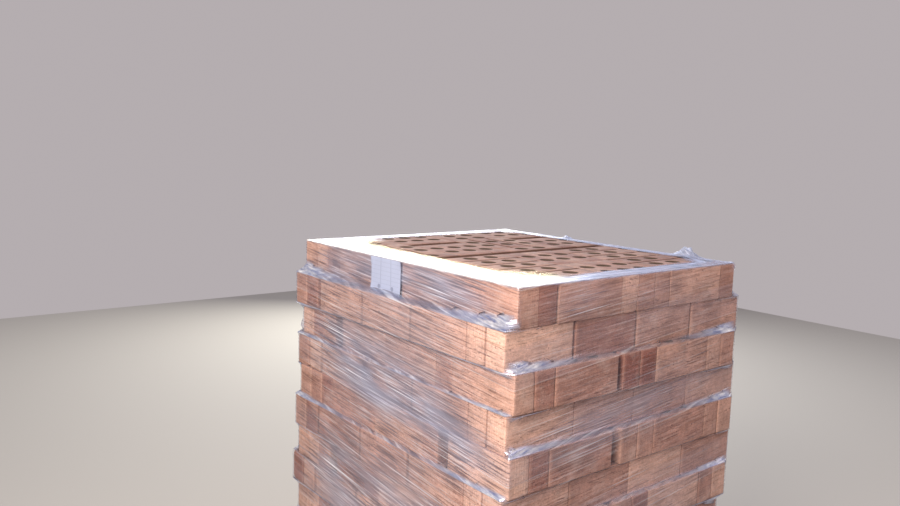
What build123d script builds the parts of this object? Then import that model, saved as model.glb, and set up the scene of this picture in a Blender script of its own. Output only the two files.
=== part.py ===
"""A wrapped pallet of wire-cut bricks: twelve staggered courses on a slatted deck."""

from build123d import *
import os

# Axes: X along the fork pockets, Y along the deck boards, Z up.
# The origin is the middle of the centre bearer's underside, on the floor. All sizes are millimetres.

# One brick, laid with its cored face up
BRICK_LENGTH = 230.0
BRICK_WIDTH = 66.0
BRICK_HEIGHT = 100.0
CORE_DIAMETER = 42.0
CORE_SIDE_COUNT = 12
CORE_COUNT = 2

# How the bricks are set
JOINT = 2.0
EDGE_JOINT = 6.0
BAND_JOINT = 10.0
BAND_GAP = 16.0
COURSE_BRICK_COUNT = 4
BAND_BRICK_COUNT = 3
EDGE_ROW_COUNT = 2

# How far each course was set off the pallet's centre along X and Y, and the slack left in its
# width, from the bottom up
COURSE_LAYS = [
    (0.0, 0.0, 0.0),
    (5.0, -5.0, 0.0),
    (0.0, 5.0, 0.0),
    (-10.0, 5.0, 12.0),
    (0.0, 20.0, 0.0),
    (-15.0, -20.0, 30.0),
    (-5.0, -5.0, 0.0),
    (-5.0, -15.0, 32.0),
    (10.0, 5.0, 0.0),
    (0.0, -10.0, 20.0),
    (15.0, 15.0, 18.0),
    (10.0, 10.0, 0.0),
]

# Pallet, whose deck stands out a little on each side of the lowest course
DECK_MARGIN = 2.0
DECK_THICKNESS = 18.0
BOARD_COUNT = 7
BOARD_WIDTH = 100.0
BEARER_HEIGHT = 75.0
BEARER_WIDTH = 48.0
BEARER_NAMES = ["front", "middle", "back"]

# Stretch film, with its folded border on the top course
FILM_CLEARANCE = 0.5
FILM_THICKNESS = 1.0
FILM_BORDER = 140.0
FILM_LOWER_EDGE = 10.0

# Paper label on the film of the top course, which it nearly fills
LABEL_WIDTH = 148.0
LABEL_MARGIN = 2.0
LABEL_THICKNESS = 0.5
LABEL_FROM_CORNER = 465.0

DECK_TOP = BEARER_HEIGHT + DECK_THICKNESS
COURSE_COUNT = len(COURSE_LAYS)
STACK_TOP = DECK_TOP + COURSE_COUNT * BRICK_HEIGHT
LABEL_HEIGHT = BRICK_HEIGHT - LABEL_MARGIN


def run(count, size, joint=JOINT):
    """Length of so many pieces of one size set end to end with joints between them."""
    return count * size + (count - 1) * joint


# Spans of the two kinds of course laid tight, and the deck under them
COLUMN_STEP = BRICK_WIDTH + JOINT
EDGE_DEPTH = run(EDGE_ROW_COUNT, BRICK_WIDTH, EDGE_JOINT)
BAND_DEPTH = run(BAND_BRICK_COUNT, BRICK_LENGTH, BAND_JOINT)
COURSE_DEPTH = 2 * EDGE_DEPTH + JOINT + BAND_DEPTH + BAND_GAP
BANDED_WIDTH = run(COURSE_BRICK_COUNT, BRICK_LENGTH)
HALF_WIDTH = BRICK_LENGTH + 3 * COLUMN_STEP
MIXED_WIDTH = 2 * HALF_WIDTH + JOINT
DECK_WIDTH = BANDED_WIDTH + 2 * DECK_MARGIN
DECK_LENGTH = COURSE_DEPTH + 2 * DECK_MARGIN


def spread(count, size, span):
    """Starts of count pieces of one size, set evenly so that the outer two end flush with the span."""
    if count == 1:
        return [0.0]
    pitch = (span - size) / (count - 1)
    return [index * pitch for index in range(count)]


def fitting(span):
    """How many brick widths fit side by side in a span."""
    return int((span + JOINT) // COLUMN_STEP)


def block(x, y, width, depth, turned, lengths):
    """Corners of the bricks that fill a rectangle, as (x, y, turned).

    A brick that isn't turned runs along X. The block is so many brick lengths long, and across
    it holds as many bricks as fit.
    """
    along_span, across_span = (depth, width) if turned else (width, depth)
    along = spread(lengths, BRICK_LENGTH, along_span)
    across = spread(fitting(across_span), BRICK_WIDTH, across_span)
    if turned:
        return [(x + side, y + end, True) for side in across for end in along]
    return [(x + end, y + side, False) for side in across for end in along]


def banded_course(width):
    """Edge rows along X at the front and back, with a band of bricks along Y between them."""
    bricks = []
    for y in (0.0, COURSE_DEPTH - EDGE_DEPTH):
        bricks += block(0.0, y, width, EDGE_DEPTH, False, COURSE_BRICK_COUNT)
    bricks += block(0.0, EDGE_DEPTH + JOINT, width, BAND_DEPTH, True, BAND_BRICK_COUNT)
    return bricks


def front_block(x, rows, before, after):
    """A pile of bricks along X between columns along Y: so many before it and so many after."""
    depth = run(rows, BRICK_LENGTH)
    pile = x + before * COLUMN_STEP
    bricks = block(x, 0.0, run(before, BRICK_WIDTH), depth, True, rows)
    bricks += block(pile, 0.0, BRICK_LENGTH, depth, False, 1)
    bricks += block(pile + BRICK_LENGTH + JOINT, 0.0, run(after, BRICK_WIDTH), depth, True, rows)
    return bricks


def back_block(x, y, rows):
    """A brick along X, rows along Y and, at the very back, three along X, beside three long columns."""
    trio = run(3, BRICK_WIDTH)
    bricks = block(x, y, BRICK_LENGTH, BRICK_WIDTH, False, 1)
    bricks += block(x, y + COLUMN_STEP, BRICK_LENGTH, run(rows, BRICK_LENGTH), True, rows)
    bricks += block(x, COURSE_DEPTH - trio, BRICK_LENGTH, trio, False, 1)
    bricks += block(x + BRICK_LENGTH + JOINT, y, trio, COURSE_DEPTH - y, True, rows + 1)
    return bricks


def mixed_course(number, width):
    """Long and short faces by turns, with the width's slack as a gap between the halves.

    The top course has the same half twice, and its front is two bricks deep. In the courses under
    it the front is one brick deep, and the gap comes one column earlier there. The depth's slack
    lies behind the front, or before the last three bricks in every other mixed course.
    """
    if number == COURSE_COUNT:
        rows = 1
        bricks = front_block(0.0, 2, 2, 1) + front_block(width - HALF_WIDTH, 2, 2, 1)
    else:
        rows = 2
        bricks = front_block(0.0, 1, 2, 0) + front_block(width - HALF_WIDTH - COLUMN_STEP, 1, 2, 2)
    y = run(3 - rows, BRICK_LENGTH) + JOINT
    if number % 4 == 0:
        y = COURSE_DEPTH - run(rows, BRICK_LENGTH) - 4 * COLUMN_STEP
    for x in (0.0, width - HALF_WIDTH):
        bricks += back_block(x, y, rows)
    return bricks


def course_plan(number):
    """Width of a course and its bricks: the two lowest are one way only, then two plans alternate."""
    slack = COURSE_LAYS[number - 1][2]
    width = BANDED_WIDTH + slack
    if number == 1:
        return width, block(0.0, 0.0, width, COURSE_DEPTH, False, COURSE_BRICK_COUNT)
    if number == 2:
        return width, block(0.0, 0.0, width, COURSE_DEPTH, True, COURSE_BRICK_COUNT)
    if number % 2 == 1:
        return width, banded_course(width)
    width = MIXED_WIDTH + slack
    return width, mixed_course(number, width)


def plain_brick():
    """A brick as it shows under other courses, with its corner at the origin."""
    return Box(BRICK_LENGTH, BRICK_WIDTH, BRICK_HEIGHT, align=(Align.MIN, Align.MIN, Align.MIN))


def cored_brick():
    """A brick with its round cores, which part its length evenly and are drawn with few sides."""
    pitch = BRICK_LENGTH / (CORE_COUNT + 1)
    core = extrude(RegularPolygon(CORE_DIAMETER / 2, CORE_SIDE_COUNT), BRICK_HEIGHT)
    brick = plain_brick()
    for index in range(CORE_COUNT):
        brick -= Pos((index + 1) * pitch, BRICK_WIDTH / 2, 0) * core
    return brick


def course_corner(number):
    """The front left corner of a course, at its underside."""
    width, _ = course_plan(number)
    shift_x, shift_y, _ = COURSE_LAYS[number - 1]
    return shift_x - width / 2, shift_y - COURSE_DEPTH / 2, DECK_TOP + (number - 1) * BRICK_HEIGHT


def brick_course(number):
    """The bricks of one course as separate solids."""
    brick = cored_brick() if number == COURSE_COUNT else plain_brick()
    turned_brick = Pos(BRICK_WIDTH, 0, 0) * Rot(0, 0, 90) * brick
    corner = Pos(*course_corner(number))
    bricks = []
    for x, y, turned in course_plan(number)[1]:
        bricks.append(corner * Pos(x, y, 0) * (turned_brick if turned else brick))
    return Compound(children=bricks)


def bearer(index):
    """One of the bearers, which run along X at even places."""
    starts = spread(len(BEARER_NAMES), BEARER_WIDTH, DECK_LENGTH)
    place = Pos(-DECK_WIDTH / 2, starts[index] - DECK_LENGTH / 2, 0)
    return place * Box(DECK_WIDTH, BEARER_WIDTH, BEARER_HEIGHT, align=(Align.MIN, Align.MIN, Align.MIN))


def deck_board(index):
    """One of the deck boards, which run along Y on the bearers."""
    starts = spread(BOARD_COUNT, BOARD_WIDTH, DECK_WIDTH)
    place = Pos(starts[index] - DECK_WIDTH / 2, -DECK_LENGTH / 2, BEARER_HEIGHT)
    return place * Box(BOARD_WIDTH, DECK_LENGTH, DECK_THICKNESS, align=(Align.MIN, Align.MIN, Align.MIN))


def course_envelope(number, side, rise):
    """A course's box, grown outwards by side and up and down by rise."""
    width, _ = course_plan(number)
    x, y, z = course_corner(number)
    lower = FILM_LOWER_EDGE if number == 1 else -rise
    size = (width + 2 * side, COURSE_DEPTH + 2 * side, BRICK_HEIGHT + rise - lower)
    return Pos(x - side, y - side, z + lower) * Box(*size, align=(Align.MIN, Align.MIN, Align.MIN))


def stretch_film():
    """A thin skin that follows the staggered courses and folds over the top as a border."""
    outside = course_envelope(1, FILM_CLEARANCE + FILM_THICKNESS, FILM_THICKNESS)
    inside = course_envelope(1, FILM_CLEARANCE, 0.0)
    for number in range(2, COURSE_COUNT + 1):
        outside += course_envelope(number, FILM_CLEARANCE + FILM_THICKNESS, FILM_THICKNESS)
        inside += course_envelope(number, FILM_CLEARANCE, 0.0)
    width, _ = course_plan(COURSE_COUNT)
    x, y, _ = course_corner(COURSE_COUNT)
    opening = Pos(x + width / 2, y + COURSE_DEPTH / 2, STACK_TOP) * Box(
        width - 2 * FILM_BORDER, COURSE_DEPTH - 2 * FILM_BORDER, 4 * FILM_THICKNESS
    )
    return outside - inside - opening


def paper_label():
    """A bare sheet on the left side of the top course, outside the film."""
    x, y, z = course_corner(COURSE_COUNT)
    face = x - FILM_CLEARANCE - FILM_THICKNESS
    place = Pos(face - LABEL_THICKNESS, y + LABEL_FROM_CORNER, z + BRICK_HEIGHT - LABEL_HEIGHT)
    return place * Box(LABEL_THICKNESS, LABEL_WIDTH, LABEL_HEIGHT, align=(Align.MIN, Align.MIN, Align.MIN))


def build():
    """Every sub-part of the loaded pallet by its node's name."""
    parts = {"stretch_film": stretch_film(), "paper_label": paper_label()}
    for index, name in enumerate(BEARER_NAMES):
        parts[f"bearer_{name}"] = bearer(index)
    for index in range(BOARD_COUNT):
        parts[f"deck_board_{index + 1}"] = deck_board(index)
    for number in range(1, COURSE_COUNT + 1):
        parts[f"brick_course_{number:02d}"] = brick_course(number)
    return parts


os.makedirs("parts", exist_ok=True)
for name, shape in build().items():
    export_step(shape, f"parts/{name}.step")
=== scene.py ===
"""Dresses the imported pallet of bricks: fired clay, sawn wood, stretch film, a paper label and a stage."""

import functools
import math
from types import SimpleNamespace

import bpy
import numpy as np
from mathutils import Matrix, Vector


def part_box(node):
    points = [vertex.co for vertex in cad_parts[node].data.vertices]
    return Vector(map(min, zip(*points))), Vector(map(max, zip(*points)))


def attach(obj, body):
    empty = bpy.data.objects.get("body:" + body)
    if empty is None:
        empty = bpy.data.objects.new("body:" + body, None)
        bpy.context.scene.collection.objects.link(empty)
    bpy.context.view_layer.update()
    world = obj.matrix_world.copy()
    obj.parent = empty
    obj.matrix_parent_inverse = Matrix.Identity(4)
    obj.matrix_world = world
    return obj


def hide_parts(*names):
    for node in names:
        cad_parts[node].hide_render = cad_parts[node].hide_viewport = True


bl_info = {
    "name": "Wrapped brick pallet",
    "version": (1, 0, 0),
    "blender": (4, 5, 0),
    "location": "View3D > Sidebar > Brick Pallet",
    "description": "Dresses a packed pallet of bricks with clay, wood, film and paper",
    "category": "Object",
}

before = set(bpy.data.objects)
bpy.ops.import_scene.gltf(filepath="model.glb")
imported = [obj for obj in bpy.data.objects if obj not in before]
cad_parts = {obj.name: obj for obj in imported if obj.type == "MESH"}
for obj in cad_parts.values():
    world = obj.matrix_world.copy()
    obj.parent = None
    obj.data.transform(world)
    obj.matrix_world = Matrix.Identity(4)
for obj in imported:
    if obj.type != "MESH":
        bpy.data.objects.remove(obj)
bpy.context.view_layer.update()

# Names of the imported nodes, from the bottom up
COURSES = sorted(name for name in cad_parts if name.startswith("brick_course"))
BOARDS = sorted(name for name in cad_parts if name.startswith("deck_board"))
BEARERS = sorted(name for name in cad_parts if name.startswith("bearer"))

# How many corners a packed brick has, without cores and with them
PLAIN_BRICK_CORNERS = 24
CORED_BRICK_CORNERS = 168

# How far in from its faces a block's grid has one more line, in metres
GRID_INSET = 0.012
# Knocked corners: the share of all corners, and how far from one the brick is pulled in, in metres
CHIPPED_SHARE = 0.16
CHIP_REACH = 0.016
# The most that a brick is twisted in its course, in degrees
TWIST = 0.25
# How far from an edge its wear ends, in metres
WEAR_REACH = 0.006
# How far in from a course's outside the painted shade between bricks is full, in metres, and its share below
# the top course
SHADE_DEPTH = 0.05
LOWER_SHADE = 0.3
# How near to a brick's end, bed face or core wall a point counts as on it, in metres
END_SKIN = 0.0025
BED_SKIN = 0.0015
CORE_SKIN = 0.0008
# Bricks that stand out: the course's number, the brick's place in metres, and its tone from 0,
# hard-fired red, to 1, pale
STANDOUT_BRICKS = [
    (12, (-0.32, -0.38), 0.05),
    (12, (-0.17, -0.46), 0.30),
    (12, (-0.02, -0.38), 0.80),
    (12, (0.27, -0.46), 0.55),
    (11, (-0.34, -0.45), 0.95),
    (11, (-0.42, 0.25), 0.60),
    (10, (-0.41, -0.40), 0.50),
    (10, (-0.34, -0.40), 0.15),
    (10, (-0.02, -0.40), 0.05),
    (10, (0.04, -0.40), 0.05),
    (10, (0.19, -0.48), 0.45),
    (8, (-0.42, -0.40), 0.95),
    (8, (-0.42, 0.17), 0.30),
    (7, (-0.43, 0.23), 0.20),
]

# Corners of the stack from the near one, as shares along X and along Y
STACK_CORNERS = np.array([(0, 0), (1, 0), (1, 1), (0, 1)], float)
# Rows of the film's grid: heights over the foot of the lowest course and over each ledge, in metres,
# and the number of rows over the top
FOOT_ROWS = np.linspace(0.01, 0.045, 4)
LEDGE_ROWS = np.array([-0.05, -0.036, -0.026, -0.018, -0.012, -0.007, -0.003, 0.0,
                       0.003, 0.007, 0.012, 0.018, 0.026, 0.036])
BORDER_ROWS = 26
# How far from a corner the film is gathered, and how far off the bricks it is fully a web, in metres
GATHER_REACH = 0.12
WEB_DEPTH = 0.004
# How far the border is cut across each corner, as a share of the near one's fold
CORNER_CUTS = np.array([1.0, 0.45, 0.35, 0.8])
# Depth of the film's puckers, and mean height and swing of the border's folds, in metres
PUCKER = 0.0012
FOLD_HEIGHT = 0.0022
FOLD_SWING = 0.0045
# Waves of the film's relief: waves per metre round the stack, waves per metre up it, and phase
BORDER_FOLDS = [(1.3, 14, 0.3), (2.1, -23, 1.9), (0.7, 37, 4.0), (6.0, 9, 1.0)]
SIDE_PUCKERS = [(3, 23, 0.0), (5, 31, 2.0), (2, 41, 4.0)]
TUFT_CREASES = [(38, 21, 0.0), (17, 55, 2.0)]
# Tufts of crumpled film: the middle, and how far it spreads and stands out, in metres
FILM_TUFTS = [
    ((-0.466, 0.497, 1.016), 0.020),
    ((0.443, -0.33, 1.294), 0.030),
    ((0.443, 0.18, 1.294), 0.014),
    ((0.440, -0.485, 1.285), 0.010),
    ((-0.430, -0.490, 1.203), 0.009),
    ((-0.440, -0.495, 1.100), 0.009),
]
# Milky bands of film: height at the near corner, rise for each metre away from it, half width, strength
FILM_BANDS = [
    (1.245, 0.0, 0.05, 0.8),
    (0.84, 0.21, 0.085, 1.0),
    (0.52, 0.12, 0.10, 0.7),
    (0.24, 0.05, 0.06, 0.6),
]
# Rise of one turn of film above the last, in metres
TURN_RISE = 0.23

# How far the label lies off the film's mean face, clear of the puckers, and its cockling, in metres
LABEL_GAP = 0.003
COCKLE = 0.0006
# How many rows and columns the ruled lines part the label into
RULED_ROWS = 8
RULED_COLUMNS = 3
# Middles, height and radius of its two round spots, as shares of the label's width
SPOT_MIDDLES = (0.28, 0.72)
SPOT_HEIGHT = 0.1
SPOT_RADIUS = 0.044

# Soft lights: place, the point it faces and side in metres, power in watts, and sRGB hex colour
LIGHTS = {
    "key_light": ((-2.3, -1.25, 2.35), (0.0, 0.0, 0.9), 1.2, 121.0, "FFF3E6"),
    "glare_light": ((3.0, 4.5, 2.3), (-0.3, 0.0, 1.3), 2.4, 200.0, "FFFAEC"),
    "sky_light": ((2.8, 2.9, 3.9), (0.0, 0.0, 1.1), 4.5, 80.0, "DDE8FF"),
    "fill_light": ((2.6, -3.4, 2.4), (0.0, 0.0, 0.9), 2.6, 24.0, "FFE6E6"),
}


class BrickSettings(bpy.types.PropertyGroup):
    """Sizes and colours of the bricks."""
    edge: bpy.props.FloatProperty(
        name="Edge radius", description="Rounding of a brick's arrises",
        default=0.0022, min=0.0005, max=0.006, subtype="DISTANCE", unit="LENGTH")
    chip: bpy.props.FloatProperty(
        name="Chip", description="Depth of the deepest knocked-off corner",
        default=0.006, min=0.0, max=0.01, subtype="DISTANCE", unit="LENGTH")
    slip: bpy.props.FloatProperty(
        name="Slip", description="How far a brick may lie off its place in the course",
        default=0.0008, min=0.0, max=0.001, subtype="DISTANCE", unit="LENGTH")
    core: bpy.props.FloatProperty(
        name="Core diameter", description="Diameter of the two round cores",
        default=0.042, min=0.03, max=0.05, subtype="DISTANCE", unit="LENGTH")
    variety: bpy.props.FloatProperty(
        name="Variety", description="How far the bricks' tones spread from hard-fired red to pale",
        default=0.8, min=0.0, max=1.0, subtype="FACTOR")
    pale: bpy.props.StringProperty(
        name="Pale clay", description="sRGB hex of the palest bricks", default="DDB6A4")
    pink: bpy.props.StringProperty(
        name="Pink clay", description="sRGB hex of the commonest bricks", default="C9A191")
    salmon: bpy.props.StringProperty(
        name="Salmon clay", description="sRGB hex of the darker bricks", default="AE8274")
    red: bpy.props.StringProperty(
        name="Red clay", description="sRGB hex of the hard-fired bricks", default="894F43")
    torn: bpy.props.StringProperty(
        name="Torn clay", description="sRGB hex of the drag marks and pits", default="54302A")
    bloom: bpy.props.StringProperty(
        name="Bloom", description="sRGB hex of the pale bloom of salts", default="DCC3B8")
    combed: bpy.props.StringProperty(
        name="Combed clay", description="sRGB hex of the grooves in the ends", default="6E4034")
    rubbed: bpy.props.StringProperty(
        name="Rubbed clay", description="sRGB hex of the edges whose skin is rubbed off", default="D0A491")
    dust: bpy.props.StringProperty(
        name="Dust", description="sRGB hex of the dust on the bed faces", default="8F7978")
    # Painted shade on the faces that lie against other bricks
    inner_shade: bpy.props.StringProperty(
        name="Painted shade", description="sRGB hex of the faces that lie against other bricks", default="3F2B26")
    # Painted shade inside the cores
    core_shade: bpy.props.StringProperty(
        name="Core wall", description="sRGB hex of the cores' walls", default="4A4038")


class WoodSettings(bpy.types.PropertyGroup):
    """Sizes and colours of the boards and bearers."""
    edge: bpy.props.FloatProperty(
        name="Edge radius", description="Rounding of a board's edges",
        default=0.0015, min=0.0005, max=0.005, subtype="DISTANCE", unit="LENGTH")
    pale: bpy.props.StringProperty(
        name="Early wood", description="sRGB hex of the wood between rings", default="937650")
    palest: bpy.props.StringProperty(
        name="Palest wood", description="sRGB hex of the palest streaks between rings", default="A68A62")
    dark: bpy.props.StringProperty(
        name="Late wood", description="sRGB hex of the dark rings", default="513D29")
    grey: bpy.props.StringProperty(
        name="Weathered wood", description="sRGB hex of the greyed patches", default="7F7466")


class FilmSettings(bpy.types.PropertyGroup):
    """Sizes and colours of the stretch film."""
    clearance: bpy.props.FloatProperty(
        name="Clearance", description="Gap between the film and the bricks' faces",
        default=0.0016, min=0.0005, max=0.004, subtype="DISTANCE", unit="LENGTH")
    border: bpy.props.FloatVectorProperty(
        name="Border", description="Width of the film over the top course on the left, right, front and back",
        default=(0.155, 0.065, 0.085, 0.085), size=4, min=0.02, max=0.25, unit="LENGTH")
    fold: bpy.props.FloatProperty(
        name="Corner fold", description="How far the fold at the near corner cuts across the border",
        default=0.17, min=0.0, max=0.3, subtype="DISTANCE", unit="LENGTH")
    corner: bpy.props.FloatProperty(
        name="Corner radius", description="How tightly the film bends round the stack's corners",
        default=0.005, min=0.002, max=0.02, subtype="DISTANCE", unit="LENGTH")
    steepness: bpy.props.FloatProperty(
        name="Web steepness", description="Rise of the film over a ledge, for each unit that it goes in",
        default=0.25, min=0.1, max=3.0)
    corner_steepness: bpy.props.FloatProperty(
        name="Corner steepness", description="What the rise gains at the corners, where the film is gathered",
        default=0.75, min=0.0, max=3.0)
    wrap_angle: bpy.props.FloatProperty(
        name="Wrap angle", description="Slope of the film's stretch marks",
        default=math.radians(5.0), min=0.0, max=0.5, subtype="ANGLE", unit="ROTATION")
    tint: bpy.props.StringProperty(
        name="Film tint", description="sRGB hex of the milky film", default="D6D0E2")
    # Painted sky reflection on the film over ledges, in milky bands and in thin folds
    web: bpy.props.StringProperty(
        name="Web tint", description="sRGB hex of the film over ledges, in milky bands and in thin folds",
        default="C6D8FF")
    # Painted light and shade on the crumpled film's facets
    lit_facet: bpy.props.StringProperty(
        name="Facet", description="sRGB hex of the bright facets of crumpled film", default="EDF3FF")
    facet_shade: bpy.props.StringProperty(
        name="Facet shade", description="sRGB hex of the shadowed facets of crumpled film", default="7D8CC0")
    # Partly the whiter film of many turns and partly painted sunlight: the rim and border tints
    rim: bpy.props.StringProperty(
        name="Rim tint", description="sRGB hex of the border's outer edge where many turns overlap",
        default="FFFAF0")
    sunlit_cream: bpy.props.StringProperty(
        name="Border tint", description="sRGB hex of the border's inner edge where many turns overlap",
        default="FFEDA8")
    # Painted highlight on light stretch marks, lap edges, webs and crumpled creases
    glint: bpy.props.StringProperty(
        name="Glint", description="sRGB hex of the light stretch marks", default="F2F2F6")
    shade: bpy.props.StringProperty(
        name="Film shade", description="sRGB hex of the wrinkles' dark sides", default="6A4F4E")


class LabelSettings(bpy.types.PropertyGroup):
    """Sizes and colours of the label."""
    lift: bpy.props.FloatProperty(
        name="Corner lift", description="How far the label's free corners stand off the film",
        default=0.003, min=0.0, max=0.01, subtype="DISTANCE", unit="LENGTH")
    paper: bpy.props.StringProperty(
        name="Paper", description="sRGB hex of the label", default="9EA7C1")
    ink: bpy.props.StringProperty(
        name="Ink", description="sRGB hex of the lines and spots", default="4E5468")


class StageSettings(bpy.types.PropertyGroup):
    """The camera, the floor and the light from all round."""
    eye: bpy.props.FloatVectorProperty(
        name="Camera place", description="Where the camera stands",
        default=(-1.7256, -1.8597, 1.6183), size=3, subtype="XYZ", unit="LENGTH")
    heading: bpy.props.FloatProperty(
        name="Heading", description="Camera's turn from the Y axis towards the X axis",
        default=math.radians(38.66), subtype="ANGLE", unit="ROTATION")
    tilt: bpy.props.FloatProperty(
        name="Tilt", description="How far the camera looks down",
        default=math.radians(7.54), subtype="ANGLE", unit="ROTATION")
    roll: bpy.props.FloatProperty(
        name="Roll", description="Camera's turn about its own axis",
        default=math.radians(1.79), subtype="ANGLE", unit="ROTATION")
    lens: bpy.props.FloatProperty(
        name="Lens", description="Focal length on a 36 mm wide sensor",
        default=33.08, min=10.0, max=200.0, subtype="DISTANCE_CAMERA")
    floor_side: bpy.props.FloatProperty(
        name="Floor side", description="Side of the square floor",
        default=12.0, min=4.0, max=40.0, subtype="DISTANCE", unit="LENGTH")
    floor: bpy.props.StringProperty(
        name="Floor", description="sRGB hex of the floor", default="B4B2AE")
    room: bpy.props.StringProperty(
        name="Room", description="sRGB hex of the light from all round", default="E3DADD")
    room_strength: bpy.props.FloatProperty(
        name="Room strength", description="Strength of the light from all round",
        default=0.6, min=0.0, max=5.0)


def linear(hex_colour, alpha=1.0):
    """An sRGB hex colour as linear red, green, blue and alpha."""
    values = [int(hex_colour[i:i + 2], 16) / 255 for i in (0, 2, 4)]
    return (*(v / 12.92 if v <= 0.04045 else ((v + 0.055) / 1.055) ** 2.4 for v in values), alpha)


def add_node(tree, kind, *values, output=None, **named):
    """Adds a shader node with its settings and links, and gives its first output or the one that is named.

    Plain values and sockets fill the node's inputs in order. A name with a capital letter is that of
    an input, with _ for a space, and any other is that of a setting.
    """
    node = tree.nodes.new(f"ShaderNode{kind}")
    for name, value in named.items():
        if name[0].islower():
            setattr(node, name, value)
    inputs = [socket for socket in node.inputs if socket.enabled]
    filled = list(zip(inputs, values))
    for name, value in named.items():
        if name[0].isupper():
            filled.append((next(socket for socket in inputs if socket.name == name.replace("_", " ")), value))
    for socket, value in filled:
        if isinstance(value, bpy.types.NodeSocket):
            tree.links.new(value, socket)
        else:
            socket.default_value = value
    return next((socket for socket in node.outputs if socket.enabled and output in (None, socket.name)), None)


def new_material(name):
    """A material with no nodes yet, and the function that adds nodes to it."""
    material = bpy.data.materials.new(name)
    material.use_nodes = True
    material.node_tree.nodes.clear()
    return material, functools.partial(add_node, material.node_tree)


def stored_values(add, prefix, names):
    """The mesh's stored place and these other values, by name."""
    stored = SimpleNamespace(place=add("Attribute", attribute_name=f"{prefix}_place", output="Vector"))
    for name in names:
        setattr(stored, name, add("Attribute", attribute_name=f"{prefix}_{name}", output="Fac"))
    return stored


def mesh_object(name, points, faces, smooth=True):
    """A mesh object from arrays of points and of faces with the same number of corners each."""
    mesh = bpy.data.meshes.new(name)
    mesh.from_pydata(points.reshape(-1, 3).tolist(), [], faces.tolist())
    mesh.polygons.foreach_set("use_smooth", np.full(len(mesh.polygons), smooth))
    mesh.update()
    piece = bpy.data.objects.new(name, mesh)
    bpy.context.scene.collection.objects.link(piece)
    return piece


def grid_faces(rows, columns, closed=False):
    """Corner numbers of the quads of a grid stored row by row, closed on itself along its rows if asked."""
    across = np.arange(columns if closed else columns - 1)
    row, column = np.meshgrid(np.arange(rows - 1), across, indexing="ij")
    after = (column + 1) % columns
    corners = [row * columns + column, row * columns + after,
               (row + 1) * columns + after, (row + 1) * columns + column]
    return np.stack(corners, -1).reshape(-1, 4)


def add_attribute(piece, name, kind, values):
    """Stores one value for each point of the piece: kind is FLOAT or FLOAT_VECTOR."""
    attribute = piece.data.attributes.new(name, kind, "POINT")
    field = "value" if kind == "FLOAT" else "vector"
    attribute.data.foreach_set(field, np.asarray(values, np.float32).ravel())


def add_uv(piece, name, uv):
    """Stores a UV map from one (u, v) for each point."""
    loops = np.empty(len(piece.data.loops), np.int32)
    piece.data.loops.foreach_get("vertex_index", loops)
    layer = piece.data.uv_layers.new(name=name)
    layer.data.foreach_set("uv", uv.reshape(-1, 2)[loops].astype(np.float32).ravel())


def merged(points, faces):
    """The same surface with its doubled points made one."""
    _, first, place = np.unique(np.round(points, 6), axis=0, return_index=True, return_inverse=True)
    return points[first], place.ravel()[faces]


def block_surface(size, radius):
    """A box centred on the origin with rounded edges, as points and quads.

    Each of the six sides is a grid of two parameters whose lines lie at the ends, one radius in
    and one grid inset in. A point of the grid is clamped to the box that is one radius smaller, and
    set one radius away from where that lands, along the line between the two.
    """
    half = np.array(size) / 2
    points, faces, count = [], [], 0
    for axis in range(3):
        first, second = (axis + 1) % 3, (axis + 2) % 3
        levels = [np.array([-h, radius - h, GRID_INSET - h, h - GRID_INSET, h - radius, h]) for h in half]
        u, v = np.meshgrid(levels[first], levels[second], indexing="ij")
        for side in (-1, 1):
            grid = np.empty(u.shape + (3,))
            grid[..., axis], grid[..., first], grid[..., second] = side * half[axis], u, v
            quads = grid_faces(*u.shape) + count
            points.append(grid.reshape(-1, 3))
            faces.append(quads if side < 0 else quads[:, ::-1])
            count += u.size
    points, faces = merged(np.concatenate(points), np.concatenate(faces))
    inner = np.clip(points, radius - half, half - radius)
    away = points - inner
    length = np.linalg.norm(away, axis=1, keepdims=True)
    return inner + away / np.maximum(length, 1e-9) * radius, faces[:, ::-1]


def cored_surface(size, radius, core, turns=32):
    """A brick with two upright round cores at the thirds of its length, as points and quads.

    Each half of the brick is one closed profile carried round its core: up the core's wall, out
    over the bed face, round the arris, down the side and back in underneath. A point of the
    profile lies on the ray from the core's centre, on the core's circle or on the half brick's
    outline, and the half's own cut side has no faces.
    """
    half = np.array(size) / 2
    centre = half[0] / 3
    low = np.array([0.0, -half[1]]) - (centre, 0.0)
    high = np.array([half[0], half[1]]) - (centre, 0.0)
    corner_turns = np.arctan2([low[1], low[1], high[1], high[1]], [low[0], high[0], high[0], low[0]])
    turn = np.unique(np.concatenate([np.linspace(-math.pi, math.pi, turns, endpoint=False), corner_turns]))
    ray = np.stack([np.cos(turn), np.sin(turn)], -1)
    reach = np.where(ray > 0, high, low) / np.where(np.abs(ray) < 1e-9, 1e-9, ray)
    outline = ray * np.min(np.abs(reach), axis=1, keepdims=True)
    inset_low, inset_high = low + (0.0, radius), high - (radius, radius)
    pulled = np.clip(outline, inset_low, inset_high)
    # One ring on the bed face lies about a third of the way from the core to the outline
    middle = outline * 0.35 + ray * core / 2 * 0.65
    rings = [(ray * core / 2, -half[2]), (ray * core / 2, half[2] - radius / 2),
             (ray * (core / 2 + radius / 2), half[2]), (middle, half[2]), (pulled, half[2]),
             (outline, half[2] - radius), (outline, radius - half[2]), (pulled, -half[2]),
             (ray * core / 2, -half[2])]
    points = np.stack([np.column_stack([ring + (centre, 0.0), np.full(len(turn), z)]) for ring, z in rings])
    faces = grid_faces(len(rings), len(turn), closed=True)
    flat = points.reshape(-1, 3)
    on_cut = np.all(np.abs(flat[faces][:, :, 0]) < 1e-6, axis=1)
    faces = faces[~on_cut]
    other = flat * (-1.0, -1.0, 1.0)
    return merged(np.concatenate([flat, other]), np.concatenate([faces, faces + len(flat)])[:, ::-1])


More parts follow.
